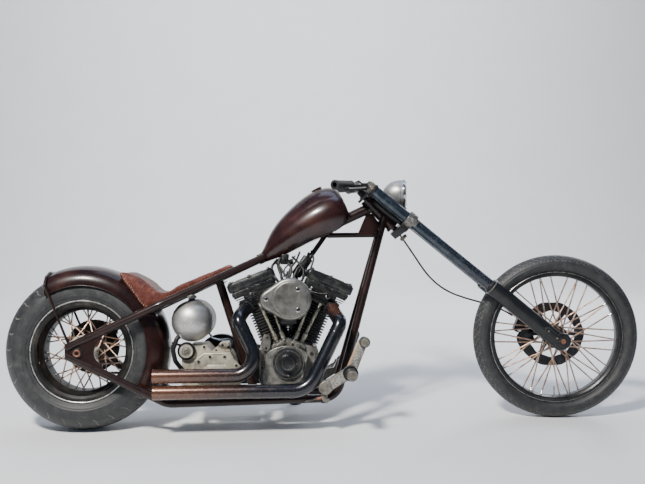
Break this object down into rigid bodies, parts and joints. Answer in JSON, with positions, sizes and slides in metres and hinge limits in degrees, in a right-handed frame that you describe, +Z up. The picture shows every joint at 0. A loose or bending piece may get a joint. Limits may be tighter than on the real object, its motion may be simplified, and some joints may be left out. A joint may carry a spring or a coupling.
{
  "type": "chopper motorcycle",
  "caption": "Long, low chopper motorcycle with a V-twin engine, rigid triangular rear frame, raked fork, spoked wheels and wide rear tyre, leaning on its side stand.",
  "frame": {"origin": "on the floor, below the middle of the whole motorcycle's bounding box as it stands parked", "axes": "+X forward along the motorcycle, +Y to its left, +Z up from the floor"},
  "size_m": [2.6424, 0.737, 1.017],
  "materials": {
    "frame_paint": "dark brown-black gloss paint",
    "tank_paint": "dark burgundy-brown gloss paint",
    "fender_paint": "dark burgundy-brown gloss paint",
    "seat_leather": "glossy reddish-brown leather",
    "case_metal": "satin cast",
    "fin_metal": "dark satin",
    "cover_paint": "dark grey satin",
    "bright_metal": "polished",
    "aged_metal": "aged brushed",
    "pipe_metal": "heat-tinted brown",
    "gear_metal": "satin cast",
    "black_paint": "black satin",
    "chain_steel": "oiled",
    "tank_steel": "brushed",
    "worn_metal": "worn satin",
    "tyre_rubber": "matte",
    "rim_metal": "dark with a bright lip",
    "black_rim": "black with a bright lip",
    "spoke_steel": "bronze-toned",
    "axle_steel": "copper-brown",
    "hub_metal": "satin",
    "fork_chrome": "polished, bluish",
    "slider_paint": "matte dark grey",
    "grip_rubber": "matte",
    "lever_paint": "dark brown satin",
    "lamp_steel": "brushed",
    "lamp_glass": "clear",
    "disc_steel": "dark",
    "hose_rubber": "satin"
  },
  "bodies": {
    "frame": {"axle_plates": "frame_paint", "head_frame": "frame_paint", "upper_rails": "frame_paint", "down_tubes": "frame_paint", "bottom_frame": "frame_paint", "centre_frame": "frame_paint", "rear_fender": "fender_paint", "fender_stay": "frame_paint", "fuel_tank": "tank_paint", "seat": "seat_leather", "crankcase": "case_metal", "cylinders": "fin_metal", "rocker_covers": "cover_paint", "cam_cover": "cover_paint", "pushrod_tubes": "bright_metal", "air_cleaner": "aged_metal", "exhaust_pipes": "pipe_metal", "gearbox": "gear_metal", "gearbox_cover": "gear_metal", "primary_cover": "black_paint", "drive_chain": "chain_steel", "oil_tank": "tank_steel", "foot_controls": "worn_metal"},
    "rear_wheel": {"rear_tyre": "tyre_rubber", "rear_rim": "rim_metal", "rear_hub": "hub_metal", "rear_spokes": "spoke_steel"},
    "front_fork": {"fork_tubes": "fork_chrome", "fork_sliders": "slider_paint", "front_axle": "axle_steel", "lower_clamp": "fork_chrome", "top_clamp": "black_paint", "handlebar": "black_paint", "grips": "grip_rubber", "hand_controls": "lever_paint", "headlight": "lamp_steel", "headlight_lens": "lamp_glass", "front_caliper": "lever_paint", "brake_hose": "hose_rubber"},
    "front_wheel": {"front_tyre": "tyre_rubber", "front_rim": "black_rim", "front_hub": "hub_metal", "front_spokes": "spoke_steel", "front_disc": "disc_steel"},
    "side_stand": {"side_stand": "black_paint"}
  },
  "joints": [
    {"name": "steering", "type": "hinge", "parent": "frame", "child": "front_fork", "pos_m": [0.24648, 0.00675, 0.87053], "axis": [-0.682, 0.0848, 0.7264], "range_deg": [-23, 37]},
    {"name": "front_wheel_spin", "type": "hinge", "parent": "front_fork", "child": "front_wheel", "pos_m": [0.97747, -0.07559, 0.34483], "axis": [0.0879, 0.9956, -0.0338], "continuous": true},
    {"name": "rear_wheel_spin", "type": "hinge", "parent": "frame", "child": "rear_wheel", "pos_m": [-0.99432, -0.05688, 0.3256], "axis": [0, 0.9933, -0.116], "continuous": true},
    {"name": "side_stand_fold", "type": "hinge", "parent": "frame", "child": "side_stand", "pos_m": [-0.19432, 0.08138, 0.07839], "axis": [0.0462, 0.4374, 0.8981], "range_deg": [0, 107]}
  ]
}
